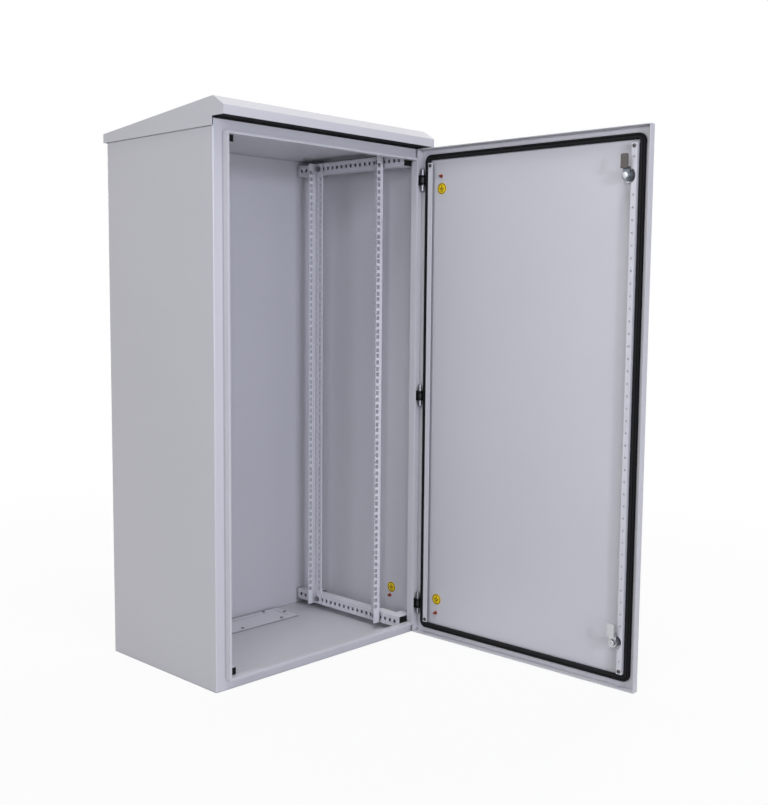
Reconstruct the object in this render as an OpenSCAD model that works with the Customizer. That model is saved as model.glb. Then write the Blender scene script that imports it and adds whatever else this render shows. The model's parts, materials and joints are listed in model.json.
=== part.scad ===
// Outdoor sheet-steel equipment cabinet with a rain hood, 19-inch rails and one hinged door.
// Millimetres. The origin is the centre of the base, +Z is up, and the door side faces -Y.
// The door is drawn open by door_open degrees, which is the rest pose of its joint.

/* [Body] */
// Width of the body, side to side
body_width = 600; // [580:5:800]
// Depth of the body, front flange to back
body_depth = 376; // [320:1:800]
// Height of the body without the hood
body_height = 1147; // [700:1:1800]
// Thickness of the folded steel sheet
sheet = 1.5; // [1:0.25:2.5]
// Outer radius of the folds
bend = 2.5; // [2:0.25:4]

/* [Front frame] */
// Flange width on the two sides, edge to lip
flange_side = 23.5; // [22:0.5:28]
// Flange width at the top and the bottom
flange_end = 22.5; // [20:0.5:30]
// Depth of the sealing lip in front of the flange
lip_depth = 15.3; // [14:0.1:18]
// Thickness of the folded lip
lip_thick = 4.8; // [3:0.1:5]

/* [Rain hood] */
// Hood overhang at each side
hood_side = 3.7; // [3:0.1:20]
// Hood overhang behind the back wall
hood_back = 8; // [3:0.5:20]
// Hood overhang in front of the flange
hood_front = 38.3; // [35:0.1:80]
// Height of the ridge above the body
hood_rise = 41.5; // [35:0.5:80]
// Distance of the ridge in front of the flange
ridge_front = 6; // [2:0.5:20]
// Height of the front fascia
fascia = 18.2; // [12:0.2:26]
// Overlap of the skirts with the body walls
skirt = 14; // [8:1:40]

/* [Rack rails] */
// Distance of the rack hole columns from the sides of the body, 67.45 for 19-inch equipment in 600 mm
side_space = 67.45; // [60:0.05:170]
// Height of one rack unit
rack_unit = 44.45; // [44.45:0.01:44.45]
// Width of the rail flange that carries the holes
rail_flange = 22; // [20:0.5:24]
// Depth of the rail web
rail_web = 28; // [25:1:45]
// Distance of the front rails behind the flange
rail_front = 68.5; // [45:0.5:120]
// Distance of the rear rails in front of the back
rail_back = 70; // [60:0.5:130]
// Side of the square rack holes
rack_hole = 9.5; // [8:0.1:9.5]

/* [Depth profiles] */
// Side of the square depth profiles
profile_height = 26; // [20:1:30]
// Gap from the floor to the lower profiles
profile_lift = 15.5; // [10:0.5:40]
// Gap from the top of the body to the upper profiles
profile_drop = 14; // [10:0.5:40]
// Spacing of the profile holes
profile_pitch = 16; // [14:0.25:25]

/* [Door] */
// Opening angle at which the door is drawn
door_open = 91.5; // [0:0.5:120]
// Depth of the door's folded walls
door_depth = 18; // [16:1:20]
// Gap from the free edge of the door to the side of the body
door_short = 2.5; // [0:0.5:4]
// Gap from the floor to the lower edge of the door
door_lift = 2; // [1:0.5:6]
// Gap from the top of the body to the upper edge of the door
door_drop = 0.5; // [0:0.5:6]
// Width of the door gasket
gasket_width = 12; // [10:0.5:14]
// Height of the door gasket
gasket_height = 9; // [8:0.1:11]
// Distance of the outer hinges from the door's ends
hinge_inset = 71; // [50:1:120]
// Distance of the lock centres from the door's ends
lock_inset = 98; // [92:1:200]
// Distance of the lock centres from the free edge
lock_edge = 48; // [46:1:60]
// Reach of the lock cams from the lock centre
cam_length = 42; // [36:1:46]
// Spacing of the strip holes
strip_pitch = 25; // [20:1:50]

/* [Cable entry] */
// Width of the cable-entry plate
gland_width = 344; // [200:2:420]
// Depth of the cable-entry plate
gland_depth = 88; // [60:1:96]

/* [Hidden] */
$fn = 48;
W = body_width;
D = body_depth;
H = body_height;
fold_in = max(bend - sheet, 0.5);
touch = 0.1;
yf = -D / 2;
yb = D / 2;
frame_side = flange_side + lip_thick;
frame_end = flange_end + lip_thick;

// Hood profile points
hood_x = W / 2 + hood_side;
hood_yb = yb + hood_back;
hood_yf = yf - hood_front;
hood_yr = yf - ridge_front;
hood_zr = H + hood_rise;
hood_eave = 5;
hood_gap = 3.3;
hood_zb = H + hood_eave;
hood_zf = H + hood_gap + fascia;
hood_zs = H - skirt;
hood_yn = yf - 1.5;
hood_m1 = (hood_zr - hood_zb) / (hood_yr - hood_yb);
hood_m2 = (hood_zr - hood_zf) / (hood_yr - hood_yf);
hood_k1 = sheet * sqrt(1 + hood_m1 * hood_m1);
hood_k2 = sheet * sqrt(1 + hood_m2 * hood_m2);
function hood_under(y) = hood_zb + hood_m1 * (y - hood_yb) - hood_k1;
function hood_bevel(y) = hood_zf + hood_m2 * (y - hood_yf) - hood_k2;
hood_yi = (hood_zf - hood_m2 * hood_yf - hood_k2 - hood_zb + hood_m1 * hood_yb + hood_k1)
          / (hood_m1 - hood_m2);
support_inset = 88;
support_foot = 26;
support_bolt_inset = 59;
support_x = W / 2 - support_inset;
support_bolt_x = support_x + support_foot / 2;
support_bolt_y = D / 2 - support_bolt_inset;

// Rails and depth profiles
rail_thick = 2;
rail_bend = 4;
rack_pitch = W - 2 * side_space;
rack_margin = 6.05;
rail_edge = rack_pitch / 2 - rack_margin;
rail_out = rail_edge + rail_flange;
profile_wall = 1.5;
cap_head = 2.5;
cap_plug = 9;
profile_in = rail_out;
profile_out = profile_in + profile_height;
profile_y0 = yf + sheet + cap_head + 0.3;
profile_y1 = yb - sheet - 2;
profile_n = floor((profile_y1 - profile_y0 - 22) / profile_pitch);
profile_first = (profile_y0 + profile_y1 - profile_n * profile_pitch) / 2;
function profile_hole_near(y) = profile_first + round((y - profile_first) / profile_pitch) * profile_pitch;
profile_zl = profile_lift + profile_height / 2;
profile_zu = H - profile_drop - profile_height / 2;
rail_z0 = profile_lift + 1;
rail_z1 = H - profile_drop;
rail_yf = yf + rail_front;
rail_yr = yb - rail_back;
units = floor((rail_z1 - rail_z0 - 48) / rack_unit);
rack_z0 = (rail_z0 + rail_z1) / 2 + 9.3 - units * rack_unit / 2;
rail_bolt_front = profile_hole_near(rail_yf + 17);
rail_bolt_rear = profile_hole_near(rail_yr - 17);
function rack_hole_z(i) = rack_z0 + floor(i / 3) * rack_unit + 6.35 + (i % 3) * 15.875;

// Door, in its own closed coordinates: s from the hinge edge, t from the outer face
door_stand = lip_depth + 0.3 + gasket_height + sheet;
door_width = W - door_short;
door_z0 = door_lift;
door_z1 = H - door_drop;
door_y = yf - door_stand;
pin_t = (door_stand - 6.3) / 2;
pin_s = pin_t;
pin_x = W / 2 - pin_s;
pin_y = door_y + pin_t;
pin_r = 4;
knuckle_r = 6.4;
hinge_half = 6.4;
hinge_zs = [door_z0 + hinge_inset, (door_z0 + door_z1) / 2, door_z1 - hinge_inset];
lock_s = door_width - lock_edge;
cam_thick = 3;
cam_half = 8;
cam_hub_t = 20;
cam_rise = 14;
cam_t = door_stand + sheet + 2;
lock_zs = [door_z0 + lock_inset, door_z1 - lock_inset];
seal_side = flange_side + lip_thick / 2 - gasket_width / 2 - 2.4;
seal_top = flange_end + lip_thick / 2 - gasket_width / 2 - 4;
seal_bottom = flange_end + lip_thick / 2 - gasket_width / 2 - 2;
seal_shift = 1.2;
seal_hinge = seal_side - seal_shift;
seal_free = seal_side + seal_shift;
seal_corner = 16;
strip_width = 12;
strip_depth = 15.5;
strip_sheet = 1.5;
strip_foot = 9;
strip_hinge = seal_hinge + gasket_width + 4.5;
strip_free = W - seal_free - gasket_width - 0.5 - strip_width;
strip_z0 = seal_bottom + gasket_width + 5;
strip_z1 = H - seal_top - gasket_width - 8;
stud_s = 60;
gland_back = 51;
gland_margin = 18;
gland_lap = 22;
gland_y = yb - gland_back;
gland_z = sheet + 1.5;
bolt_x = (profile_out + W / 2 - sheet) / 2;
bolt_inset = 100;
bolt_y = D / 2 - bolt_inset;

// A box given by its two ends on each axis
module bx(x0, x1, y0, y1, z0, z1) {
    translate([x0, y0, z0]) cube([x1 - x0, y1 - y0, z1 - z0]);
}

// A box in the closed door's own coordinates
module dbx(s0, s1, t0, t1, z0, z1) {
    bx(W / 2 - s1, W / 2 - s0, door_y + t0, door_y + t1, z0, z1);
}

// A cylinder along the door's depth
module dcyl(s, z, r, t0, t1, n = 48) {
    translate([W / 2 - s, door_y + t0, z]) rotate([-90, 0, 0])
        cylinder(r = r, h = t1 - t0, $fn = n);
}

// Turns what is drawn for the closed door into the open pose
module swing() {
    translate([pin_x, pin_y, 0]) rotate([0, 0, door_open]) translate([-pin_x, -pin_y, 0]) children();
}

// Draws a right-hand piece on the side that is asked for
module side(sx) {
    if (sx > 0) children();
    else mirror([1, 0, 0]) children();
}

// Draws a piece that looks to the front turned to the back for dir -1
module facing(dir) {
    if (dir > 0) children();
    else mirror([0, 1, 0]) children();
}

// Rectangle with round corners, from two bars and four discs
module round_rect(x0, x1, z0, z1, r) {
    translate([x0 + r, z0]) square([x1 - x0 - 2 * r, z1 - z0]);
    translate([x0, z0 + r]) square([x1 - x0, z1 - z0 - 2 * r]);
    for (x = [x0 + r, x1 - r], z = [z0 + r, z1 - r]) translate([x, z]) circle(r = r);
}

// The body's plan, folded from sheet, drawn up from z0 to z1
module body_plan(inset, r, z0, z1) {
    translate([0, 0, z0]) linear_extrude(height = z1 - z0)
        round_rect(-W / 2 + inset, W / 2 - inset, yf + inset, yb - inset, r);
}

module body_shell() {
    color([0.78, 0.79, 0.8]) difference() {
        union() {
            difference() {
                body_plan(0, bend, 0, H);
                body_plan(sheet, fold_in, sheet, H - sheet);
            }
            bx(-W / 2 + flange_side, W / 2 - flange_side, yf - lip_depth, yf + sheet,
               flange_end, H - flange_end);
        }
        bx(-W / 2 + frame_side, W / 2 - frame_side, yf - lip_depth - 1, yf + sheet + 1,
           frame_end, H - frame_end);
        bx(-gland_width / 2 + gland_lap, gland_width / 2 - gland_lap, gland_y - gland_depth / 2 + gland_lap,
           gland_y + gland_depth / 2 - gland_lap, -1, sheet + 1);
        for (x = [-bolt_x, bolt_x], y = [-bolt_y, bolt_y])
            translate([x, y, -1]) cylinder(r = 5.5, h = sheet + 2);
        for (x = [-support_bolt_x, support_bolt_x], y = [-support_bolt_y, support_bolt_y])
            translate([x, y, H - sheet - 1]) cylinder(r = 3.2, h = sheet + 2);
    }
}

// Draws an outline of the hood, seen from the side, out along X
module hood_prism(half) {
    translate([-half, 0, 0]) rotate([90, 0, 90]) linear_extrude(height = 2 * half) children();
}

// Rounds the outer corners of an outline, as folds do
module folded(r) {
    offset(r = r, $fn = 24) offset(delta = -r) children();
}

module rain_hood() {
    below = hood_zs - 12;
    color([0.78, 0.79, 0.8]) difference() {
        hood_prism(hood_x) folded(bend) polygon([[hood_yb, below], [hood_yb, hood_zb],
            [hood_yr, hood_zr], [hood_yf, hood_zf], [hood_yf, below]]);
        hood_prism(hood_x - sheet) folded(fold_in) polygon([[hood_yb - sheet, below - 5],
            [hood_yb - sheet, hood_under(hood_yb - sheet)], [hood_yi, hood_under(hood_yi)],
            [hood_yf + sheet, hood_bevel(hood_yf + sheet)], [hood_yf + sheet, below - 5]]);
        bx(-hood_x - 1, hood_x + 1, hood_yf - 1, hood_yb + 1, below - 1, hood_zs);
        bx(-hood_x - 1, hood_x + 1, hood_yf - 1, hood_yn, below - 1, hood_zf - fascia);
    }
}

module hood_support(sx) {
    y0 = yf + 16;
    y1 = yb - 20;
    color([0.7, 0.71, 0.72]) side(sx) difference() {
        union() {
            translate([support_x, 0, 0]) rotate([90, 0, 90]) linear_extrude(height = 2)
                polygon([[y0, H], [y1, H], [y1, hood_under(y1) - touch], [y0, hood_under(y0) - touch]]);
            bx(support_x, support_x + support_foot, y0, y1, H, H + 2);
        }
        for (y = [-support_bolt_y, support_bolt_y])
            translate([support_bolt_x, y, H - 1]) cylinder(r = 3.2, h = 4);
    }
}

module hood_bolts() {
    color([0.7, 0.7, 0.72])
    for (x = [-support_bolt_x, support_bolt_x], y = [-support_bolt_y, support_bolt_y])
        translate([x, y, 0]) {
            translate([0, 0, H - sheet - 4]) cylinder(r = 5.77, h = 4, $fn = 6);
            translate([0, 0, H - sheet - 0.5]) cylinder(r = 3, h = sheet + 4);
            translate([0, 0, H + 2]) cylinder(r = 5.77, h = 3, $fn = 6);
        }
}

// Black foam strip that closes the gap between the body's front edge and the hood
module hood_seal() {
    y0 = hood_yf + sheet + 1;
    y1 = yf + 12;
    side_gap = hood_side - sheet;
    color([0.06, 0.06, 0.06]) {
        hood_prism(W / 2) polygon([[y0, H + hood_gap + 1], [yf - 1, H + hood_gap + 1], [yf, H], [y1, H],
            [y1, hood_under(y1) - touch], [hood_yi, hood_under(hood_yi) - 2 * touch - fold_in / 2],
            [y0, hood_bevel(y0) - touch]]);
        for (sx = [-1, 1]) side(sx)
            bx(W / 2, W / 2 + side_gap - touch, yf + bend, y1, H - skirt + 1, H + hood_gap);
    }
}

// Cable-entry plate with a flap cut free on three sides
module gland_plate() {
    x = gland_width / 2;
    y = gland_depth / 2;
    slit = 1.6;
    color([0.8, 0.81, 0.82]) difference() {
        bx(-x, x, gland_y - y, gland_y + y, gland_z, gland_z + 2);
        bx(-x + 45, x - 45, gland_y + y - gland_margin - slit, gland_y + y - gland_margin,
           gland_z - 1, gland_z + 3);
        for (sx = [-1, 1]) side(sx)
            bx(x - gland_margin - slit, x - gland_margin, gland_y - y + gland_margin,
               gland_y + y - gland_margin, gland_z - 1, gland_z + 3);
    }
}

module gland_seal() {
    x = gland_width / 2;
    y = gland_depth / 2;
    edge = 2;
    color([0.08, 0.08, 0.08]) difference() {
        bx(-x + edge, x - edge, gland_y - y + edge, gland_y + y - edge, sheet, gland_z);
        bx(-x + gland_lap, x - gland_lap, gland_y - y + gland_lap, gland_y + y - gland_lap, 0, gland_z + 1);
    }
}

module gland_screws() {
    x = gland_width / 2 - gland_margin / 2;
    y = gland_depth / 2 - gland_margin / 2;
    color([0.7, 0.7, 0.72])
    for (p = [[-x, 0], [x, 0], [-x + 40, -y], [0, -y], [x - 40, -y], [-x + 40, y], [0, y], [x - 40, y]])
        translate([p[0], gland_y + p[1], gland_z + 2]) cylinder(r = 4, h = 2.2, $fn = 24);
}

// Right-hand depth profile, a square tube with a row of square holes in its inner face
module profile(sx, zc) {
    h = profile_height / 2;
    color([0.76, 0.77, 0.78]) side(sx) difference() {
        bx(profile_in, profile_out, profile_y0, profile_y1, zc - h, zc + h);
        bx(profile_in + profile_wall, profile_out - profile_wall, profile_y0 - 1, profile_y1 + 1,
           zc - h + profile_wall, zc + h - profile_wall);
        for (i = [0:profile_n]) translate([0, profile_first + i * profile_pitch, 0])
            bx(profile_in - 1, profile_in + profile_wall + 1, -3.5, 3.5, zc - 4, zc + 4);
    }
}

module profile_lower_left() profile(-1, profile_zl);
module profile_lower_right() profile(1, profile_zl);
module profile_upper_left() profile(-1, profile_zu);
module profile_upper_right() profile(1, profile_zu);

// Push-in cap on the front end of a profile
module end_cap(sx, zc) {
    h = profile_height / 2;
    color([0.05, 0.05, 0.05]) side(sx) {
        bx(profile_in, profile_out, profile_y0 - cap_head, profile_y0, zc - h, zc + h);
        bx(profile_in + profile_wall, profile_out - profile_wall, profile_y0 - 1, profile_y0 + cap_plug,
           zc - h + profile_wall, zc + h - profile_wall);
    }
}

module end_cap_lower_left() end_cap(-1, profile_zl);
module end_cap_lower_right() end_cap(1, profile_zl);
module end_cap_upper_left() end_cap(-1, profile_zu);
module end_cap_upper_right() end_cap(1, profile_zu);

// Channel bracket between a profile and the side wall, open towards the profile
module bracket(sx, zc, y0) {
    h = profile_height / 2 - 1;
    color([0.74, 0.75, 0.76]) side(sx) difference() {
        bx(profile_out, W / 2 - sheet, y0, y0 + 34, zc - h, zc + h);
        bx(profile_out - 1, W / 2 - sheet - 2, y0 - 1, y0 + 35, zc - h + 2, zc + h - 2);
    }
}

module bracket_lower_left_front() bracket(-1, profile_zl, yf + 8);
module bracket_lower_left_rear() bracket(-1, profile_zl, yb - 62);
module bracket_lower_right_front() bracket(1, profile_zl, yf + 8);
module bracket_lower_right_rear() bracket(1, profile_zl, yb - 62);
module bracket_upper_left_front() bracket(-1, profile_zu, yf + 8);
module bracket_upper_left_rear() bracket(-1, profile_zu, yb - 62);
module bracket_upper_right_front() bracket(1, profile_zu, yf + 8);
module bracket_upper_right_rear() bracket(1, profile_zu, yb - 62);

// Plan of a folded angle with its corner at the origin: a flange along -X and a web along +Y
module angle_plan(flange, web, thick, r) {
    translate([-flange, 0]) square([flange - r, thick]);
    translate([-thick, r]) square([thick, web - r]);
    translate([-r, r]) intersection() {
        difference() {
            circle(r = r);
            circle(r = r - thick);
        }
        translate([0, -r]) square(r);
    }
}

// Right-hand rail: flange at y, web behind it for dir 1 and in front of it for dir -1
module rail(sx, y, dir) {
    ya = dir > 0 ? y : y - rail_thick;
    yh = y + dir * (rail_web - 9);
    yb0 = dir > 0 ? rail_bolt_front : rail_bolt_rear;
    g = rack_hole / 2;
    color([0.8, 0.81, 0.83]) side(sx) difference() {
        translate([rail_out, y, rail_z0]) facing(dir) linear_extrude(height = rail_z1 - rail_z0)
            angle_plan(rail_flange, rail_web, rail_thick, rail_bend);
        for (i = [0:3 * units - 1]) {
            z = rack_hole_z(i);
            bx(rack_pitch / 2 - g, rack_pitch / 2 + g, ya - 1, ya + rail_thick + 1, z - g, z + g);
            if (z - 5 > profile_lift + profile_height && z + 5 < H - profile_drop - profile_height)
                bx(rail_out - rail_thick - 1, rail_out + 1, yh - 4.5, yh + 4.5, z - 4.5, z + 4.5);
        }
        for (z = [profile_zl, profile_zu])
            translate([rail_out - rail_thick - 1, yb0, z]) rotate([0, 90, 0])
                cylinder(r = 3.3, h = rail_thick + 2);
    }
}

module rail_front_left() rail(-1, rail_yf, 1);
module rail_front_right() rail(1, rail_yf, 1);
module rail_rear_left() rail(-1, rail_yr, -1);
module rail_rear_right() rail(1, rail_yr, -1);

module rail_bolts() {
    color([0.68, 0.68, 0.7])
    for (sx = [-1, 1], y = [rail_bolt_front, rail_bolt_rear], z = [profile_zl, profile_zu])
        side(sx) translate([rail_out, y, z]) rotate([0, 90, 0]) {
            translate([0, 0, -rail_thick - 1.2]) cylinder(r = 6.5, h = 1.2);
            translate([0, 0, -rail_thick - 5.2]) cylinder(r = 5.77, h = 4.2, $fn = 6);
            translate([0, 0, -rail_thick - 1.5]) cylinder(r = 3, h = rail_thick + profile_wall + 1.6);
            translate([0, 0, profile_wall]) cylinder(r = 5.77, h = 3.5, $fn = 6);
        }
}

// Earth stud with its collar, standing up from where it is welded
module earth_stud() {
    color([0.62, 0.3, 0.2]) {
        cylinder(r = 4, h = 1.5);
        cylinder(r = 2.5, h = 7.5);
    }
}

module wall_earth_stud() {
    translate([W / 2 - sheet, yf + 83, 71]) rotate([0, -90, 0]) earth_stud();
}

// Body half of a hinge: foot on the flange, arm and knuckle
module hinge_block(zc) {
    color([0.05, 0.05, 0.05]) translate([0, 0, zc]) difference() {
        union() {
            bx(W / 2 - flange_side + 0.5, pin_x - 2, yf - 2.5, yf, -11, 11);
            bx(W / 2 - flange_side + 1, pin_x - 1.4, pin_y + 3, yf - 2, -hinge_half, hinge_half);
            bx(pin_x - knuckle_r, pin_x - 1.4, pin_y, pin_y + 4, -hinge_half, hinge_half);
            translate([pin_x, pin_y, -hinge_half]) cylinder(r = knuckle_r, h = 2 * hinge_half);
        }
        translate([pin_x, pin_y, -12]) cylinder(r = pin_r + 0.06, h = 24);
    }
}

module hinge_block_lower() hinge_block(hinge_zs[0]);
module hinge_block_middle() hinge_block(hinge_zs[1]);
module hinge_block_upper() hinge_block(hinge_zs[2]);

// Door half of a hinge: a plate on the door sheet and two ears for the pin
module hinge_leaf(zc) {
    s0 = sheet + fold_in + touch;
    s1 = seal_hinge - touch;
    color([0.05, 0.05, 0.05]) swing() translate([0, 0, zc]) difference() {
        union() {
            dbx(s0, s1, sheet, pin_t - knuckle_r - 0.3, -11, 11);
            for (z = [-11, hinge_half + 0.2])
                dbx(s0, s1, sheet, pin_t + knuckle_r, z, z + 11 - hinge_half - 0.2);
        }
        translate([pin_x, pin_y, -13]) cylinder(r = pin_r + 0.02, h = 26);
    }
}

module hinge_leaf_lower() hinge_leaf(hinge_zs[0]);
module hinge_leaf_middle() hinge_leaf(hinge_zs[1]);
module hinge_leaf_upper() hinge_leaf(hinge_zs[2]);

// Long hinge pin with tapered ends
module hinge_pin(zc) {
    half = 24;
    taper = 2;
    color([0.75, 0.75, 0.72]) translate([pin_x, pin_y, zc]) rotate_extrude()
        polygon([[0, -half - taper], [pin_r - 1.5, -half - taper], [pin_r, -half],
                 [pin_r, half], [pin_r - 1.5, half + taper], [0, half + taper]]);
}

module hinge_pin_lower() hinge_pin(hinge_zs[0]);
module hinge_pin_middle() hinge_pin(hinge_zs[1]);
module hinge_pin_upper() hinge_pin(hinge_zs[2]);

// A tray's cross-section: from a0 to a1 across, deep, with its two folds on the face side
module tray_section(a0, a1, deep, r) {
    translate([a0 + r, 0]) square([a1 - a0 - 2 * r, deep]);
    translate([a0, r]) square([a1 - a0, deep - r]);
    for (a = [a0 + r, a1 - r]) translate([a, r]) circle(r = r);
}

// Two crossed sections give a tray that is folded on all four sides
module door_tray(inset, deep, r) {
    translate([0, door_y + inset, 0]) intersection() {
        linear_extrude(height = H + 10)
            tray_section(W / 2 - door_width + inset, W / 2 - inset, deep, r);
        rotate([0, -90, 0]) linear_extrude(height = 2 * W, center = true)
            tray_section(door_z0 + inset, door_z1 - inset, deep, r);
    }
}

module door_pan() {
    color([0.8, 0.81, 0.82]) swing() difference() {
        door_tray(0, door_depth, bend);
        door_tray(sheet, door_depth, fold_in);
        for (z = hinge_zs)
            dbx(-1, sheet + 0.01, sheet + 0.2, door_depth + 1, z - hinge_half - 1, z + hinge_half + 1);
        for (z = lock_zs) dcyl(lock_s, z, 11.1, -1, sheet + 1);
    }
}

// Gasket section, outer edge at x = 0: a low outer bead and the tall bead that meets the lip
module gasket_section() {
    tall_r = 3.6;
    low_r = 2.3;
    low_height = gasket_height - 1.4;
    translate([-gasket_width, 0]) square([gasket_width, 3]);
    translate([-gasket_width + tall_r, 0]) {
        translate([-tall_r, 0]) square([2 * tall_r, gasket_height - tall_r]);
        translate([0, gasket_height - tall_r]) circle(r = tall_r);
    }
    translate([-low_r, 0]) {
        translate([-low_r, 0]) square([2 * low_r, low_height - low_r]);
        translate([0, low_height - low_r]) circle(r = low_r);
    }
}

// The gasket is one section, drawn along four straight runs and turned round four corners
module gasket_ring(w, h, r) {
    for (q = [0, 1, 2, 3]) {
        across = q % 2 == 0 ? w / 2 : h / 2;
        along = q % 2 == 0 ? h - 2 * r : w - 2 * r;
        rotate(90 * q) {
            translate([across, 0, 0]) rotate([90, 0, 0]) linear_extrude(height = along, center = true)
                gasket_section();
            translate([across - r, along / 2, 0]) rotate_extrude(angle = 90) translate([r, 0])
                gasket_section();
        }
    }
}

module door_gasket() {
    color([0.04, 0.04, 0.04]) swing()
        translate([seal_shift, door_y + sheet, (seal_bottom + H - seal_top) / 2]) rotate([-90, 0, 0])
            gasket_ring(W - 2 * seal_side, H - seal_top - seal_bottom, seal_corner);
}

// Channel strip inside the door, with its web at s and its lips towards dir
module door_strip(s, dir) {
    notch_r = 17;
    n = 2 * floor((strip_z1 - strip_z0 - 44) / (2 * strip_pitch)) + 1;
    z0 = (strip_z0 + strip_z1 - n * strip_pitch) / 2;
    w = strip_sheet;
    t1 = sheet + strip_depth;
    centre = s + dir * strip_width / 2;
    color([0.84, 0.85, 0.86]) swing() difference() {
        translate([W / 2 - s, door_y + sheet, strip_z0]) linear_extrude(height = strip_z1 - strip_z0)
            polygon([for (p = [[0, 0], [strip_foot, 0], [strip_foot, w], [w, w], [w, strip_depth - w],
                               [strip_width, strip_depth - w], [strip_width, strip_depth],
                               [0, strip_depth]]) [-dir * p[0], p[1]]]);
        if (dir < 0) {
            for (i = [0:n]) {
                z = z0 + i * strip_pitch;
                if (abs(z - lock_zs[0]) > notch_r + 4 && abs(z - lock_zs[1]) > notch_r + 4)
                    dcyl(centre, z, 2.1, t1 - w - 1, t1 + 1, 16);
            }
            for (z = lock_zs) dcyl(lock_s, z, notch_r, 0, t1 + 1);
        }
    }
}

module door_strip_hinge() door_strip(strip_hinge, 1);
module door_strip_lock() door_strip(strip_free + strip_width, -1);

module door_earth_stud(z) {
    swing() translate([W / 2 - stud_s, door_y + sheet, z]) rotate([-90, 0, 0]) earth_stud();
}

module door_earth_stud_lower() door_earth_stud(door_z0 + 55);
module door_earth_stud_upper() door_earth_stud(door_z1 - 64);

// Lock housing: collar outside, barrel through the door sheet
module lock_housing(z) {
    color([0.55, 0.56, 0.58]) swing() difference() {
        union() {
            dcyl(lock_s, z, 15, -4, 0);
            dcyl(lock_s, z, 11, -1, 19);
        }
        dcyl(lock_s, z, 6.08, -5, 20);
        dcyl(lock_s, z, 10, -5, -1.5);
    }
}

module lock_housing_lower() lock_housing(lock_zs[0]);
module lock_housing_upper() lock_housing(lock_zs[1]);

module lock_nut(z) {
    color([0.7, 0.71, 0.73]) swing() difference() {
        dcyl(lock_s, z, 15.6, sheet, sheet + 6, 6);
        dcyl(lock_s, z, 11.05, 0, sheet + 7);
    }
}

module lock_nut_lower() lock_nut(lock_zs[0]);
module lock_nut_upper() lock_nut(lock_zs[1]);

// Turning core of a lock: key end outside, shoulder and square inside
module lock_spindle(z) {
    color([0.6, 0.61, 0.63]) swing() difference() {
        union() {
            dcyl(lock_s, z, 6, -3.5, 19.5);
            dcyl(lock_s, z, 8, 19.2, cam_hub_t);
            dbx(lock_s - 4, lock_s + 4, cam_hub_t - 0.5, cam_hub_t + cam_thick, z - 4, z + 4);
        }
        difference() {
            dcyl(lock_s, z, 4.5, -5, 4);
            dcyl(lock_s, z, 2, -5, 5);
            dbx(lock_s - 1.2, lock_s + 1.2, -5, 5, z - 6, z + 6);
        }
    }
}

module lock_spindle_lower() lock_spindle(lock_zs[0]);
module lock_spindle_upper() lock_spindle(lock_zs[1]);

// A plate on the door, with round corners, from t0 to t1
module dplate(s0, s1, z0, z1, t0, t1, r) {
    translate([0, door_y + t1, 0]) rotate([90, 0, 0]) linear_extrude(height = t1 - t0)
        round_rect(W / 2 - s1, W / 2 - s0, z0, z1, r);
}

// Cranked lock cam: hub on the square, step forward, tongue that goes behind the flange
module lock_cam(z) {
    hub_end = cam_hub_t + cam_thick;
    tongue_end = cam_t + cam_thick;
    step = z + cam_rise;
    color([0.66, 0.67, 0.69]) swing() difference() {
        union() {
            dcyl(lock_s, z, 10, cam_hub_t, hub_end);
            dbx(lock_s - cam_half, lock_s + cam_half, cam_hub_t, hub_end, z, step + cam_thick);
            dbx(lock_s - cam_half, lock_s + cam_half, cam_hub_t, tongue_end, step, step + cam_thick);
            dplate(lock_s - cam_half, lock_s + cam_half, step, z + cam_length, cam_t, tongue_end, 3);
        }
        dbx(lock_s - 4, lock_s + 4, cam_hub_t - 1, hub_end + 1, z - 4, z + 4);
    }
}

module lock_cam_lower() lock_cam(lock_zs[0]);
module lock_cam_upper() lock_cam(lock_zs[1]);

module cam_screw(z) {
    color([0.75, 0.75, 0.77]) swing() union() {
        dcyl(lock_s, z, 7, cam_hub_t + cam_thick, cam_hub_t + cam_thick + 1.2);
        dcyl(lock_s, z, 5.77, cam_hub_t + cam_thick + 1, cam_hub_t + cam_thick + 5, 6);
    }
}

module cam_screw_lower() cam_screw(lock_zs[0]);
module cam_screw_upper() cam_screw(lock_zs[1]);

body_shell();
rain_hood();
hood_support(-1);  // hood_support_left
hood_support(1);  // hood_support_right
hood_bolts();
hood_seal();
gland_plate();
gland_seal();
gland_screws();
profile_lower_left();
profile_lower_right();
profile_upper_left();
profile_upper_right();
end_cap_lower_left();
end_cap_lower_right();
end_cap_upper_left();
end_cap_upper_right();
bracket_lower_left_front();
bracket_lower_left_rear();
bracket_lower_right_front();
bracket_lower_right_rear();
bracket_upper_left_front();
bracket_upper_left_rear();
bracket_upper_right_front();
bracket_upper_right_rear();
rail_front_left();
rail_front_right();
rail_rear_left();
rail_rear_right();
rail_bolts();
wall_earth_stud();
hinge_block_lower();
hinge_block_middle();
hinge_block_upper();
door_pan();
door_gasket();
door_strip_hinge();
door_strip_lock();
hinge_leaf_lower();
hinge_leaf_middle();
hinge_leaf_upper();
hinge_pin_lower();
hinge_pin_middle();
hinge_pin_upper();
door_earth_stud_lower();
door_earth_stud_upper();
lock_housing_lower();
lock_housing_upper();
lock_nut_lower();
lock_nut_upper();
lock_spindle_lower();
lock_spindle_upper();
lock_cam_lower();
lock_cam_upper();
cam_screw_lower();
cam_screw_upper();
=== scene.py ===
# %% [markdown]
# # An outdoor equipment cabinet
# A sheet-steel cabinet stands with its door open, and its rails, seal, hinges and locks show.
# The shapes that carry load come from CAD, so this script loads them first and keeps them where
# they are. What is left for Blender is the finish of each piece, the small screws, the printed
# earth signs, the ends of a foam strip, the light and the camera.

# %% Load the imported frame
import json
import math

import bmesh
import bpy
from mathutils import Matrix, Vector


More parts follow.
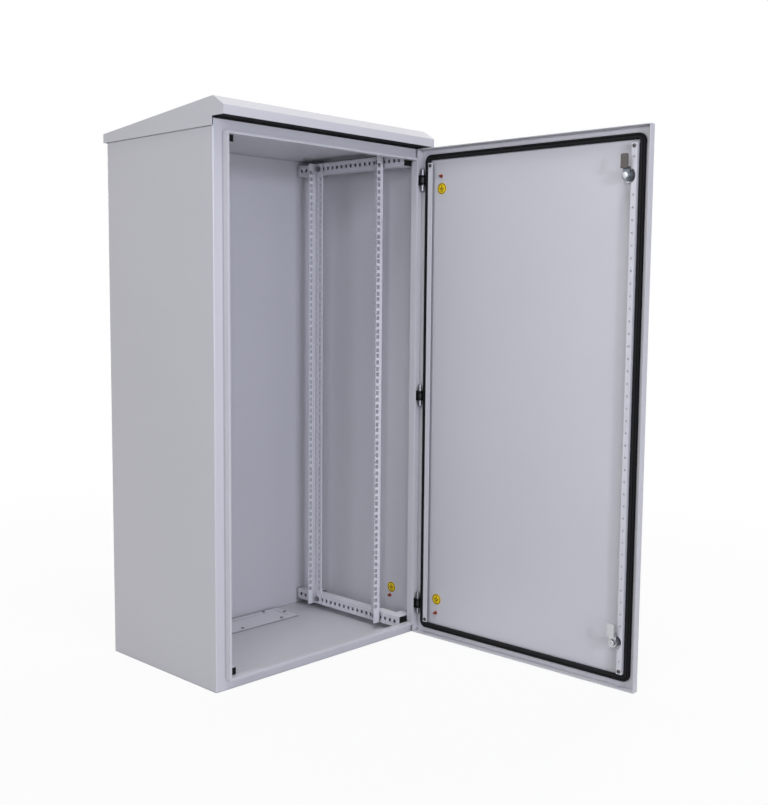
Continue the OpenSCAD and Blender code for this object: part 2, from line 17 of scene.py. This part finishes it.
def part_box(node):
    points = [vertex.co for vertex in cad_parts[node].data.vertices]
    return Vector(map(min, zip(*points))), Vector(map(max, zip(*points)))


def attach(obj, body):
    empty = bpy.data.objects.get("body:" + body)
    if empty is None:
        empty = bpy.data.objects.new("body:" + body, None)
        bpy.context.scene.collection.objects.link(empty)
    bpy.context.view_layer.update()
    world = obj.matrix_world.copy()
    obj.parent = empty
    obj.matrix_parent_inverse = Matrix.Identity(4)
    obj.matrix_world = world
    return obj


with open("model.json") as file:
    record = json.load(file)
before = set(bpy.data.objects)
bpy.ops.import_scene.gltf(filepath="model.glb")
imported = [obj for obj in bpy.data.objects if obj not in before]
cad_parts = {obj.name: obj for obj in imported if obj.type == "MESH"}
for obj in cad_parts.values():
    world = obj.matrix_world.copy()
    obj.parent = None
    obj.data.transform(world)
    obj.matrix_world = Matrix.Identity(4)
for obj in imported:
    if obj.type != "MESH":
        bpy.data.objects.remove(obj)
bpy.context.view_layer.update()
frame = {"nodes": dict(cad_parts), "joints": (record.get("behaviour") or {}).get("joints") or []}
nodes = frame["nodes"]
MM = 0.001

# %% [markdown]
# ## Measures taken from the frame
# Sizes are read from the loaded nodes instead of being typed again, so that the small pieces stay
# in place when the cabinet is packed anew. The door stands open at rest, so a point on it is first
# given for the closed door and then turned about the hinge by the angle the joint says.

# %% Measures of the body and the door
body_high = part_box("body_shell")[1]
half_width = body_high.x
body_height = body_high.z
# front of the flange: the sealing lip stands further forward, so the back of the body is mirrored
front_y = -body_high.y
SHEET = 1.5 * MM  # thickness of the folded steel of the body and the door

hinge = next(j for j in frame["joints"] if j["name"] == "door_hinge")
pivot = Vector(hinge["pos_m"])
open_angle = -math.radians(hinge["range_deg"][0])
pin_inset = half_width - pivot.x
door_face_y = pivot.y - pin_inset
door_turn = (Matrix.Translation(pivot) @ Matrix.Rotation(open_angle, 4, "Z")
             @ Matrix.Translation(-pivot))


def on_door(across, height, depth):
    """Place on the open door: across from the hinge edge, depth in from the outer face."""
    closed = Vector((half_width - across, door_face_y + depth, height))
    # the piece's own +Z looks out of the door sheet, into the cabinet
    return door_turn @ Matrix.Translation(closed) @ Matrix.Rotation(-math.pi / 2, 4, "X")


print("door stands open by", round(math.degrees(open_angle), 1), "degrees")

# %% [markdown]
# ## Small helpers
# Colours are written as the hex values that a paint chart gives, and one function makes them linear.
# Another adds a shader node with its settings, colours and links, so each material reads as a short
# list. A third turns a finished bmesh into a piece that moves with a body of the cabinet.

# %% Colour and node helpers
# where a Mix node keeps its two colours and its mixed colour among its sockets
MIX_A, MIX_B, MIX_RESULT = 6, 7, 2


def linear(hex_colour):
    """sRGB hex to linear RGBA."""
    channels = [int(hex_colour[i:i + 2], 16) / 255 for i in (1, 3, 5)]
    return [c / 12.92 if c <= 0.04045 else ((c + 0.055) / 1.055) ** 2.4 for c in channels] + [1.0]


def add_node(tree, kind, links=None, colours=None, **values):
    """Adds a node, sets its attributes, inputs and hex colours, and joins inputs to other sockets."""
    node = tree.nodes.new(kind)
    for name, value in values.items():
        if hasattr(node, name):
            setattr(node, name, value)
        else:
            node.inputs[name.replace("_", " ")].default_value = value
    for name, hex_colour in (colours or {}).items():
        node.inputs[name].default_value = linear(hex_colour)
    for name, socket in (links or {}).items():
        tree.links.new(socket, node.inputs[name])
    return node


def start_material(name, **shader):
    """A material with one Principled shader, and its tree and Object coordinates."""
    material = bpy.data.materials.new(name)
    material.use_nodes = True
    tree = material.node_tree
    surface = tree.nodes["Principled BSDF"]
    for key, value in shader.items():
        surface.inputs[key.replace("_", " ")].default_value = value
    place = add_node(tree, "ShaderNodeTexCoord").outputs["Object"]
    return material, tree, surface, place


# %% Piece helper
SMOOTH_BELOW = math.radians(35)  # edges that fold less than this look round


def finish_piece(name, mesh, material, body):
    """Turns a bmesh into an object at the origin that rides on a CAD body."""
    bmesh.ops.recalc_face_normals(mesh, faces=mesh.faces)
    data = bpy.data.meshes.new(name)
    mesh.to_mesh(data)
    mesh.free()
    data.materials.append(material)
    data.shade_smooth()
    data.set_sharp_from_angle(angle=SMOOTH_BELOW)
    piece = bpy.data.objects.new(name, data)
    bpy.context.scene.collection.objects.link(piece)
    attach(piece, body)
    print("made", name, "with", len(data.polygons), "faces, on", body)


# %% [markdown]
# ## Powder-coated steel
# The whole cabinet is sprayed with one light grey polyester powder and baked. It gives a satin skin
# with a faint orange peel, so the gloss is soft and slightly uneven, and the colour drifts very little.
# The real peel is about 1 mm wide, which is finer than a pixel here, so it is drawn at 4 mm.
# Narrow nooks, such as holes, slits and the inside of an angle, get little light, and that shade is
# painted
# into the colour as well: it darkens there towards a dark grey, which is what draws the fine lines of a
# cabinet.
# Those lines could be painted piece by piece, but an Ambient Occlusion node finds every nook by itself.

# %% Powder coat
PEEL = 4 * MM
PEEL_DEPTH = 0.12 * MM
PEEL_STRENGTH = 0.05
PEEL_GLOSS = 0.03  # the most that the roughness swings either way
DRIFT = 350 * MM  # width of the slow change of colour
# painted shade: the dark grey that the colour is mixed towards in nooks
PAINTED_SHADE_GREY = "#3c3c40"
NOOK_SAMPLES = 8
NOOK_CLOSED, NOOK_OPEN = 0.25, 0.75  # openness at which the painted shade is darkest, and gone


def powder_coat(name, colour, darker, roughness, nook, shaded_share):
    """the argument after the roughness is the width in metres of nooks darkened with painted shade, the
    last one the share of the own colour that stays in the deepest of them.
    """
    material, tree, surface, place = start_material(name, IOR=1.5)
    drift = add_node(tree, "ShaderNodeTexNoise", {"Vector": place}, Scale=1 / DRIFT, Detail=2.0)
    tint = add_node(tree, "ShaderNodeMix", {"Factor": drift.outputs["Fac"]},
                    {MIX_A: colour, MIX_B: darker}, data_type="RGBA")
    # painted shade: an Ambient Occlusion node finds the nooks, and the colour there is mixed towards dark
    # grey
    reach = add_node(tree, "ShaderNodeAmbientOcclusion", samples=NOOK_SAMPLES, Distance=nook)
    unshaded_share = add_node(tree, "ShaderNodeMapRange", {"Value": reach.outputs["AO"]}, From_Min=NOOK_CLOSED,
                     From_Max=NOOK_OPEN, To_Min=shaded_share, To_Max=1.0)
    coat = add_node(tree, "ShaderNodeMix", {"Factor": unshaded_share.outputs["Result"],
                                            MIX_B: tint.outputs[MIX_RESULT]},
                    {MIX_A: PAINTED_SHADE_GREY}, data_type="RGBA")
    tree.links.new(coat.outputs[MIX_RESULT], surface.inputs["Base Color"])
    peel = add_node(tree, "ShaderNodeTexNoise", {"Vector": place}, Scale=1 / PEEL, Detail=3.0)
    gloss = add_node(tree, "ShaderNodeMapRange", {"Value": peel.outputs["Fac"]},
                     To_Min=roughness - PEEL_GLOSS, To_Max=roughness + PEEL_GLOSS)
    tree.links.new(gloss.outputs["Result"], surface.inputs["Roughness"])
    bump = add_node(tree, "ShaderNodeBump", {"Height": peel.outputs["Fac"]}, Strength=PEEL_STRENGTH,
                    Distance=PEEL_DEPTH)
    tree.links.new(bump.outputs["Normal"], surface.inputs["Normal"])
    return material


# broad sheets, where painted shade darkens only tight seams and slits
cabinet_paint = powder_coat("powder_coated_steel_light_grey", "#cdccd0", "#c8c7cb", 0.33, 8 * MM, 0.3)
# rails and other inner parts, whose holes and inner angles get strong painted shade
inner_paint = powder_coat("powder_coated_rail_light_grey", "#dddde1", "#d7d7db", 0.33, 25 * MM, 0.15)
# strips of the door, whose nooks get weaker painted shade
strip_paint = powder_coat("powder_coated_strip_light_grey", "#d2d2d6", "#cdcdd1", 0.33, 25 * MM, 0.45)
print("powder coats:", cabinet_paint.name, inner_paint.name, strip_paint.name)

# %% [markdown]
# ## Rubber, foam, plastic and plated metal
# The door seal is foamed rubber with a matt skin and fine pores, and the cable plate lies on grey foam.
# The hinges are die-cast and painted black, and the plugs are moulded nylon. Bolts and locks are plated,
# bright, grey, satin or brown, and the earth studs have the colour of copper. On the upper lock cam the
# brown is a painted reflection of the dark seal. All plating here is slightly cloudy, as real plating is.
# Materials of a kind could be built one by one, but they differ only in a few numbers, so one function
# makes the matt ones and another the metals.

# %% Foam, rubber and black parts
PORE = 1.2 * MM
PORE_DEPTH = 0.2 * MM
PORE_STRENGTH = 0.3
PORE_GLOSS = 0.08
CAST_GRAIN, CAST_DEPTH = 2 * PORE, 0.05 * MM


def matt_part(name, colour, paler, roughness, shine, grain, depth):
    """shine is the specular level; grain and depth are the width and height of the pores in metres."""
    material, tree, surface, place = start_material(name, IOR=1.5, Specular_IOR_Level=shine)
    pores = add_node(tree, "ShaderNodeTexNoise", {"Vector": place}, Scale=1 / grain, Detail=4.0)
    tint = add_node(tree, "ShaderNodeMix", {"Factor": pores.outputs["Fac"]},
                    {MIX_A: colour, MIX_B: paler}, data_type="RGBA")
    tree.links.new(tint.outputs[MIX_RESULT], surface.inputs["Base Color"])
    gloss = add_node(tree, "ShaderNodeMapRange", {"Value": pores.outputs["Fac"]},
                     To_Min=roughness - PORE_GLOSS, To_Max=roughness + PORE_GLOSS)
    tree.links.new(gloss.outputs["Result"], surface.inputs["Roughness"])
    bump = add_node(tree, "ShaderNodeBump", {"Height": pores.outputs["Fac"]}, Strength=PORE_STRENGTH,
                    Distance=depth)
    tree.links.new(bump.outputs["Normal"], surface.inputs["Normal"])
    return material


plate_foam = matt_part("closed_cell_foam_grey", "#9a9a9d", "#a8a8ab", 0.75, 0.3, PORE, PORE_DEPTH)
seal_rubber = matt_part("foamed_rubber_black", "#050507", "#0c0c0f", 0.75, 0.25, PORE, PORE_DEPTH)
hinge_black = matt_part("painted_die_cast_black", "#060607", "#0d0d0e", 0.45, 0.35, CAST_GRAIN, CAST_DEPTH)
plug_black = matt_part("moulded_nylon_black", "#050506", "#0b0b0c", 0.55, 0.15, CAST_GRAIN, CAST_DEPTH)
print("soft and black parts:", plate_foam.name, seal_rubber.name, hinge_black.name, plug_black.name)

# %% Plated metals
CLOUD = 6 * MM
CLOUD_GLOSS = 0.1


def plated_metal(name, colour, paler, roughness):
    """A metal whose colour and gloss are cloudy."""
    material, tree, surface, place = start_material(name, Metallic=1.0)
    cloud = add_node(tree, "ShaderNodeTexNoise", {"Vector": place}, Scale=1 / CLOUD, Detail=5.0)
    tint = add_node(tree, "ShaderNodeMix", {"Factor": cloud.outputs["Fac"]},
                    {MIX_A: colour, MIX_B: paler}, data_type="RGBA")
    tree.links.new(tint.outputs[MIX_RESULT], surface.inputs["Base Color"])
    gloss = add_node(tree, "ShaderNodeMapRange", {"Value": cloud.outputs["Fac"]},
                     To_Min=roughness - CLOUD_GLOSS, To_Max=roughness + CLOUD_GLOSS)
    tree.links.new(gloss.outputs["Result"], surface.inputs["Roughness"])
    return material


bright_zinc = plated_metal("bright_zinc_plated_steel", "#b4b6ba", "#d0d2d4", 0.3)
grey_zinc = plated_metal("grey_zinc_plated_steel", "#84868a", "#9c9ea2", 0.4)
chromed_zinc = plated_metal("chromed_zinc_die_cast", "#9a9da2", "#b8bbbf", 0.32)
# lock faces look outwards, and a rougher plating keeps the lamps from glaring in them
satin_zinc = plated_metal("satin_zinc_die_cast", "#85888d", "#9da0a4", 0.55)
dull_zinc = plated_metal("dull_zinc_plated_steel", "#596069", "#7d858e", 0.28)
# on the upper lock cam this brown is a painted reflection of the dark seal; the strip screws have it as
# their own finish
brown_zinc_and_reflection = plated_metal("brown_zinc_and_painted_reflection", "#4a4748", "#66615f", 0.36)
copper = plated_metal("copper_plated_steel", "#9c4a38", "#bc6e58", 0.38)
print("plated metals:", bright_zinc.name, grey_zinc.name, chromed_zinc.name, satin_zinc.name,
      dull_zinc.name, brown_zinc_and_reflection.name, copper.name)

# %% [markdown]
# ## A finish for each node
# A long list of names could say which finish each CAD node gets, but nodes of a kind share the start of
# their name. So the first row whose prefix fits a node's name gives its finish, and narrow rows stand
# above wide ones. Only the upper cam gets a second finish, zinc grey on its round end, while its arm is
# brown as a painted reflection of the dark seal.

# %% Finishes on the CAD nodes
FINISHES = [
    (("body_shell", "rain_hood", "door_pan"), cabinet_paint),
    (("rail_front", "rail_rear", "profile", "bracket", "hood_support", "gland_plate"),
     inner_paint),
    (("door_strip",), strip_paint),
    (("gland_seal",), plate_foam),
    (("door_gasket", "hood_seal"), seal_rubber),
    (("hinge_block", "hinge_leaf"), hinge_black),
    (("hinge_pin",), grey_zinc),
    (("end_cap",), plug_black),
    (("door_earth_stud", "wall_earth_stud"), copper),
    # the upper cam is brown as a painted reflection of the dark seal; the lower cam gets bright zinc
    # through lock_
    (("lock_cam_upper",), brown_zinc_and_reflection),
    (("lock_housing", "lock_spindle"), satin_zinc),
    (("lock_nut",), chromed_zinc),
    # the two cam screws are alike: the upper one gets bright zinc in the next row as a painted highlight,
    # the lower one grey zinc
    (("rail_bolts", "gland_screws", "cam_screw_lower"), grey_zinc),
    (("lock_", "hood_bolts", "cam_screw_upper"), bright_zinc),
]
for name, node in nodes.items():
    finish = next(m for starts, m in FINISHES if name.startswith(starts))
    node.data.materials.clear()
    node.data.materials.append(finish)
print("finished nodes:", len(nodes))

# %% Round end of the upper cam, beside the painted reflection on its arm
# the round end of the upper cam stays zinc grey, and the brown on the rest of it is a painted reflection
# of the dark seal
HUB_RADIUS = 12 * MM
upper_cam = nodes["lock_cam_upper"].data
upper_cam.materials.append(dull_zinc)
screw_low, screw_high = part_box("cam_screw_upper")
hub = (screw_low + screw_high) / 2
for face in upper_cam.polygons:
    across = face.center - hub
    face.material_index = 1 if math.hypot(across.y, across.z) < HUB_RADIUS else 0
print("zinc faces at the round end of the upper cam:", sum(face.material_index for face in upper_cam.polygons))

# %% [markdown]
# ## Earth signs
# Beside each earth stud is a round yellow sticker with the common earth sign. The sign could be drawn
# in the sticker's material, but shapes stay crisp at any distance and go with the exported mesh. So the
# sticker is a thin disc with a rolled edge, and the sign is a few flat bars and a ring that stand a hair
# above it, as ink does.

# %% Sticker materials
FLECK = 3 * MM
FINE_DEPTH = 0.02 * MM  # grain of print and card
sticker_yellow, tree, surface, place = start_material("vinyl_sticker_yellow", IOR=1.5, Roughness=0.45)
flecks = add_node(tree, "ShaderNodeTexNoise", {"Vector": place}, Scale=1 / FLECK, Detail=3.0)
tint = add_node(tree, "ShaderNodeMix", {"Factor": flecks.outputs["Fac"]},
                {MIX_A: "#f0ca00", MIX_B: "#f6d408"}, data_type="RGBA")
tree.links.new(tint.outputs[MIX_RESULT], surface.inputs["Base Color"])
ink_black = matt_part("printed_ink_black", "#0c0c0c", "#141414", 0.55, 0.35, PORE, FINE_DEPTH)
print("sticker materials:", sticker_yellow.name, ink_black.name)

# %% Sticker and sign shapes
STICKER_RADIUS = 13 * MM
STICKER_THICK = 0.3 * MM
RING_OUTER, RING_INNER = 11.9 * MM, 10.2 * MM
RING_STEPS = 48
INK_THICK = 0.1 * MM
# sign bars in millimetres: centre across, centre up, width, height
SIGN_BARS = [(0, 4.7, 1.7, 7.4), (0, 0.8, 14, 1.7), (0, -2.6, 9.4, 1.7), (0, -6, 4.8, 1.7)]


def sticker_disc(place):
    disc = bmesh.new()
    bmesh.ops.create_circle(disc, cap_ends=True, segments=RING_STEPS, radius=STICKER_RADIUS)
    top = bmesh.ops.extrude_face_region(disc, geom=disc.faces[:])
    raised = [v for v in top["geom"] if isinstance(v, bmesh.types.BMVert)]
    bmesh.ops.translate(disc, vec=(0, 0, STICKER_THICK), verts=raised)
    rim = [e for e in disc.edges if all(v in raised for v in e.verts)]
    bmesh.ops.bevel(disc, geom=rim, offset=STICKER_THICK / 2, segments=2, profile=0.5,
                    affect="EDGES", material=-1)
    bmesh.ops.transform(disc, matrix=place, verts=disc.verts)
    return disc


def earth_sign(place):
    ink = bmesh.new()
    for across, up, width, height in SIGN_BARS:
        bar = Matrix.Translation((across * MM, up * MM, STICKER_THICK + INK_THICK / 2))
        bar = bar @ Matrix.Diagonal((width * MM, height * MM, INK_THICK, 1))
        bmesh.ops.create_cube(ink, size=1, matrix=bar)
    ring = bmesh.ops.create_circle(ink, segments=RING_STEPS, radius=RING_INNER)
    ring_edges = list({e for v in ring["verts"] for e in v.link_edges})
    grown = bmesh.ops.extrude_edge_only(ink, edges=ring_edges)
    outer = [v for v in grown["geom"] if isinstance(v, bmesh.types.BMVert)]
    bmesh.ops.scale(ink, vec=(RING_OUTER / RING_INNER,) * 3, verts=outer)
    bmesh.ops.translate(ink, vec=(0, 0, STICKER_THICK + INK_THICK), verts=ring["verts"] + outer)
    bmesh.ops.transform(ink, matrix=place, verts=ink.verts)
    return ink


def sticker(name, place, body):
    finish_piece(name, sticker_disc(place), sticker_yellow, body)
    finish_piece(name + "_sign", earth_sign(place), ink_black, body)


# %% Stickers on the door and the wall
STICKER_ACROSS = 61.5 * MM  # from the hinge edge
STICKER_IN = 90 * MM  # from the bottom or the top of the body
STICKER_DROP = 3 * MM  # the upper sticker sits this much lower still
WALL_STICKER_BACK = 79 * MM  # behind the flange
WALL_STICKER_UP = 92 * MM  # above the bottom

upright = Matrix.Rotation(math.pi, 4, "Z")
upper_sticker_z = body_height - STICKER_IN - STICKER_DROP
sticker("door_sticker_lower", on_door(STICKER_ACROSS, STICKER_IN, SHEET) @ upright, "door")
sticker("door_sticker_upper", on_door(STICKER_ACROSS, upper_sticker_z, SHEET) @ upright, "door")
wall = Matrix.Translation((half_width - SHEET, front_y + WALL_STICKER_BACK, WALL_STICKER_UP))
wall = wall @ Matrix.Rotation(-math.pi / 2, 4, "Y") @ Matrix.Rotation(-math.pi / 2, 4, "Z")
sticker("wall_sticker", wall, "cabinet")

# %% [markdown]
# ## Pan-head screws
# Each strip is held to the door by small screws, and each lock cam by one screw. A screw head is a
# shallow dome with a cross recess, which could be cut out with a boolean. A flat grid gives cleaner
# faces: it is rounded to a disc, its middle faces are pushed down as the recess, and its border is drawn
# down to the part below, so one surface makes the whole head.

# %% Screw heads
SCREW_RADIUS = 4 * MM
SCREW_HEIGHT = 2.2 * MM
RECESS_DEPTH = 1.2 * MM
HEAD_GRID = 9
RIM_SHARE = 0.55  # height of the dome's rim, as a share of the head's
# the cross on the grid, which runs from -1 to 1: half the width of an arm, and how far it reaches
CROSS_HALF, CROSS_REACH = 0.12, 0.6


def pan_head(mesh, place, radius=SCREW_RADIUS, height=SCREW_HEIGHT):
    made = bmesh.ops.create_grid(mesh, x_segments=HEAD_GRID, y_segments=HEAD_GRID, size=1)
    verts = made["verts"]
    faces = list({f for v in verts for f in v.link_faces})
    cross = [f for f in faces
             if min(abs(c) for c in f.calc_center_median().xy) < CROSS_HALF
             and max(abs(c) for c in f.calc_center_median().xy) < CROSS_REACH]
    for v in verts:
        x, y = v.co.xy
        disc = Vector((x * math.sqrt(1 - y * y / 2), y * math.sqrt(1 - x * x / 2)))
        bulge = math.sqrt(max(0.0, 1 - disc.length_squared))
        dome = height * (RIM_SHARE + (1 - RIM_SHARE) * bulge)
        v.co = (disc.x * radius, disc.y * radius, dome)
    border = [e for v in verts for e in v.link_edges if e.is_boundary]
    skirt = bmesh.ops.extrude_edge_only(mesh, edges=list(set(border)))
    low = [v for v in skirt["geom"] if isinstance(v, bmesh.types.BMVert)]
    for v in low:
        v.co.z = 0
    sunk = bmesh.ops.extrude_face_region(mesh, geom=cross)
    bmesh.ops.delete(mesh, geom=cross, context="FACES_ONLY")
    floor = [v for v in sunk["geom"] if isinstance(v, bmesh.types.BMVert)]
    bmesh.ops.translate(mesh, vec=(0, 0, -RECESS_DEPTH), verts=floor)
    bmesh.ops.transform(mesh, matrix=place, verts=list(set(verts) | set(low) | set(floor)))


# %% Screws of the strips and the cams
SCREW_INSET = 6 * MM  # from the end of a strip
CAP_SHARE = 0.46  # radius of a cam screw's cap, as a share of the screw's width
CAP_HEIGHT = 1.6 * MM
door_to_closed = door_turn.inverted()


def closed_box(node_name):
    """Box of a node on the door, with the door turned shut."""
    corners = [door_to_closed @ v.co for v in nodes[node_name].data.vertices]
    return [Vector([pick(c[i] for c in corners) for i in range(3)]) for pick in (min, max)]


def strip_screws(node_name):
    low, high = closed_box(node_name)
    across = half_width - (low.x + high.x) / 2
    heads = bmesh.new()
    for height in (low.z + SCREW_INSET, high.z - SCREW_INSET):
        pan_head(heads, on_door(across, height, high.y - door_face_y))
    finish_piece(node_name + "_screws", heads, brown_zinc_and_reflection, "door")


def cam_screw_cap(lock):
    low, high = closed_box("cam_screw_" + lock)
    place = on_door(half_width - (low.x + high.x) / 2, (low.z + high.z) / 2, high.y - door_face_y)
    cap = bmesh.new()
    pan_head(cap, place, radius=CAP_SHARE * (high.z - low.z), height=CAP_HEIGHT)
    finish_piece("cam_screw_cap_" + lock, cap, bright_zinc, lock + "_cam")


strip_screws("door_strip_hinge")
strip_screws("door_strip_lock")
cam_screw_cap("lower")
cam_screw_cap("upper")

# %% [markdown]
# ## Ends of the hood's foam strip
# The foam under the hood is tucked round the two front corners of the body, into the narrow gap beside
# the skirt. Cloth simulation could squeeze it in, but so little shows that a small block with rounded
# edges does: from the front, each end is a black line.

# %% Foam ends
FOAM_WIDTH, FOAM_DEPTH, FOAM_HEIGHT = 2.0 * MM, 4.4 * MM, 16 * MM
FOAM_EDGE = 0.4 * MM
FOAM_GAP = 0.1 * MM  # clear of the body's side
FOAM_FORWARD = 1.4 * MM  # in front of the flange
FOAM_RISE = 3 * MM  # above the body's top

foam_ends = bmesh.new()
for sign in (-1, 1):
    centre = Vector((sign * (half_width + FOAM_WIDTH / 2 + FOAM_GAP),
                     front_y - FOAM_FORWARD + FOAM_DEPTH / 2,
                     body_height + FOAM_RISE - FOAM_HEIGHT / 2))
    block = Matrix.Translation(centre) @ Matrix.Diagonal((FOAM_WIDTH, FOAM_DEPTH, FOAM_HEIGHT, 1))
    bmesh.ops.create_cube(foam_ends, size=1, matrix=block)
bmesh.ops.bevel(foam_ends, geom=foam_ends.edges[:], offset=FOAM_EDGE, segments=2, profile=0.5,
                affect="EDGES", material=-1)
finish_piece("hood_foam_ends", foam_ends, seal_rubber, "cabinet")

# %% [markdown]
# ## A pale studio
# The floor looks almost white and still takes the shadow. More light would whiten it too, but would
# bleach the pale paint. So its material, and the world's, tell rays apart: a ray that shows the
# background, straight, mirrored or through glass, meets almost plain white, and any other ray meets grey
# paper and a dim world. A black card lies under the base, so that the bolt holes look into shade and not
# onto bright paper.

# %% Studio helpers


def flat_sheet(name, half_x, half_y, height, material):
    """A flat rectangle that belongs to the studio and not to the cabinet."""
    mesh = bmesh.new()
    bmesh.ops.create_grid(mesh, x_segments=1, y_segments=1, size=1)
    bmesh.ops.scale(mesh, vec=(half_x, half_y, 1), verts=mesh.verts)
    bmesh.ops.translate(mesh, vec=(0, 0, height), verts=mesh.verts)
    data = bpy.data.meshes.new(name)
    mesh.to_mesh(data)
    mesh.free()
    data.materials.append(material)
    flat = bpy.data.objects.new(name, data)
    bpy.context.scene.collection.objects.link(flat)
    print("made", name, "for the studio")
    return flat


def shows_background(tree):
    """A socket that is 1 for rays from the camera, mirrored or through glass, and 0 for others."""
    rays = add_node(tree, "ShaderNodeLightPath").outputs
    seen = add_node(tree, "ShaderNodeMath", {0: rays["Is Camera Ray"], 1: rays["Is Glossy Ray"]},
                    operation="MAXIMUM")
    seen = add_node(tree, "ShaderNodeMath", {0: seen.outputs[0], 1: rays["Is Transmission Ray"]},
                    operation="MAXIMUM")
    return seen.outputs[0]


# %% Floor
FLOOR_HALF = 30  # metres
FLOOR_GLOW = 0.93  # share of the floor, near the cabinet, that a camera sees as plain white
FADE_START, FADE_END = 0.8, 2.5  # metres over which that share rises to the whole

floor_paper = bpy.data.materials.new("white_studio_paper")
floor_paper.use_nodes = True
tree = floor_paper.node_tree
tree.nodes.clear()
place = add_node(tree, "ShaderNodeTexCoord").outputs["Object"]
away = add_node(tree, "ShaderNodeVectorMath", {0: place}, operation="LENGTH").outputs["Value"]
fade = add_node(tree, "ShaderNodeMapRange", {"Value": away}, From_Min=FADE_START, From_Max=FADE_END,
                To_Min=FLOOR_GLOW, To_Max=1.0).outputs["Result"]
share = add_node(tree, "ShaderNodeMath", {0: shows_background(tree), 1: fade}, operation="MULTIPLY")
paper = add_node(tree, "ShaderNodeBsdfDiffuse", colours={"Color": "#d0d0d0"})
glow = add_node(tree, "ShaderNodeEmission", colours={"Color": "#ffffff"}, Strength=1.0)
mixed = add_node(tree, "ShaderNodeMixShader", {0: share.outputs[0], 1: paper.outputs[0],
                                               2: glow.outputs[0]})
add_node(tree, "ShaderNodeOutputMaterial", {"Surface": mixed.outputs[0]})

floor_object = flat_sheet("studio_floor", FLOOR_HALF, FLOOR_HALF, 0, floor_paper)

# %% Card under the base
CARD_SHARE = 0.96  # of the base
CARD_HEIGHT = 0.2 * MM
black_card = matt_part("black_studio_card", "#101012", "#161618", 0.8, 0.2, PORE, FINE_DEPTH)
card_object = flat_sheet("base_card", CARD_SHARE * half_width, CARD_SHARE * body_high.y, CARD_HEIGHT,
                         black_card)

# %% World
WORLD_LIGHT = 0.05
world = bpy.data.worlds.new("studio")
bpy.context.scene.world = world
world.use_nodes = True
tree = world.node_tree
tree.nodes.clear()
strength = add_node(tree, "ShaderNodeMapRange", {"Value": shows_background(tree)},
                    To_Min=WORLD_LIGHT, To_Max=1.0)
sky = add_node(tree, "ShaderNodeBackground", {"Strength": strength.outputs["Result"]},
               {"Color": "#ffffff"})
add_node(tree, "ShaderNodeOutputWorld", {"Surface": sky.outputs[0]})
print("world light:", WORLD_LIGHT)

# %% [markdown]
# ## Soft lamps
# Large round lamps on every side give the paint its soft gradients. One sun would be simpler, but all
# its shadows would be hard. A small lamp in front lets the rails throw a clear shadow, and the lamps that
# light the open side have a slight blue tint.

# %% Lamps


def soft_lamp(name, place, target, size, watts, colour="#ffffff"):
    """A disc of light: place and target in metres, size its width in metres."""
    lamp = bpy.data.lights.new(name, "AREA")
    lamp.shape = "DISK"
    lamp.size = size
    lamp.energy = watts
    lamp.color = linear(colour)[:3]
    stand = bpy.data.objects.new(name, lamp)
    bpy.context.scene.collection.objects.link(stand)
    stand.location = place
    stand.rotation_euler = (Vector(target) - Vector(place)).to_track_quat("-Z", "Y").to_euler()


middle = (0, 0, body_height / 2)
soft_lamp("left_softbox", (-4.0, 0.2, 2.2), middle, 2.0, 31)
soft_lamp("side_softbox", (-3.0, -1.9, 1.9), middle, 0.7, 19, "#f0f2ff")
soft_lamp("top_softbox", (-0.3, -0.85, 4.2), middle, 1.0, 26)
soft_lamp("upper_softbox", (-0.8, -1.2, 4.2), middle, 1.4, 46)
soft_lamp("key_softbox", (-0.8, -3.4, 1.3), (0, 0, 0.8), 0.4, 28, "#e9edff")
soft_lamp("low_softbox", (-1.2, -3.2, 0.4), (0, 0, 1.0), 1.6, 25, "#e9edff")
soft_lamp("door_softbox", (-1.75, -2.2, 1.7), (0.29, -0.5, 0.57), 1.0, 6, "#f4f5ff")
soft_lamp("right_softbox", (4.0, 0.6, 2.4), middle, 2.5, 92)
soft_lamp("back_softbox", (0.8, 4.2, 2.4), middle, 2.5, 95)
print("lamps:", len(bpy.data.lights))

# %% [markdown]
# ## Camera
# The camera stands where the photograph was taken from. It could be set by eye, but a cabinet is all
# straight edges, which show every error. So its place, angles and focal length were found by fitting a
# camera to the corners of the body and to the spacing of the rail holes.

# %% Camera at the photograph's place
CAMERA_PLACE = Vector((-1596.5, -1899.3, 803.7)) * MM
CAMERA_YAW, CAMERA_PITCH, CAMERA_ROLL = 46.14, -5.56, 0.49  # degrees
# the focal length, and the longer side of the photograph
FOCAL_PIXELS, FRAME_PIXELS = 1076.4, 805
SENSOR_WIDTH = 36  # millimetres

yaw, pitch, roll = (math.radians(a) for a in (CAMERA_YAW, CAMERA_PITCH, CAMERA_ROLL))
forward = Vector((math.sin(yaw) * math.cos(pitch), math.cos(yaw) * math.cos(pitch), math.sin(pitch)))
level = Vector((math.cos(yaw), -math.sin(yaw), 0))
upward = level.cross(forward)
right = level * math.cos(roll) + upward * math.sin(roll)
up = upward * math.cos(roll) - level * math.sin(roll)

camera = bpy.data.cameras.new("photo_camera")
camera.sensor_width = SENSOR_WIDTH
camera.lens = SENSOR_WIDTH * FOCAL_PIXELS / FRAME_PIXELS
camera_stand = bpy.data.objects.new("photo_camera", camera)
bpy.context.scene.collection.objects.link(camera_stand)
camera_stand.matrix_world = Matrix.Translation(CAMERA_PLACE) @ Matrix(
    (right, up, -forward)).transposed().to_4x4()
bpy.context.scene.camera = camera_stand
bpy.context.scene.view_settings.view_transform = "Standard"
print("camera lens in mm:", round(camera.lens, 2))
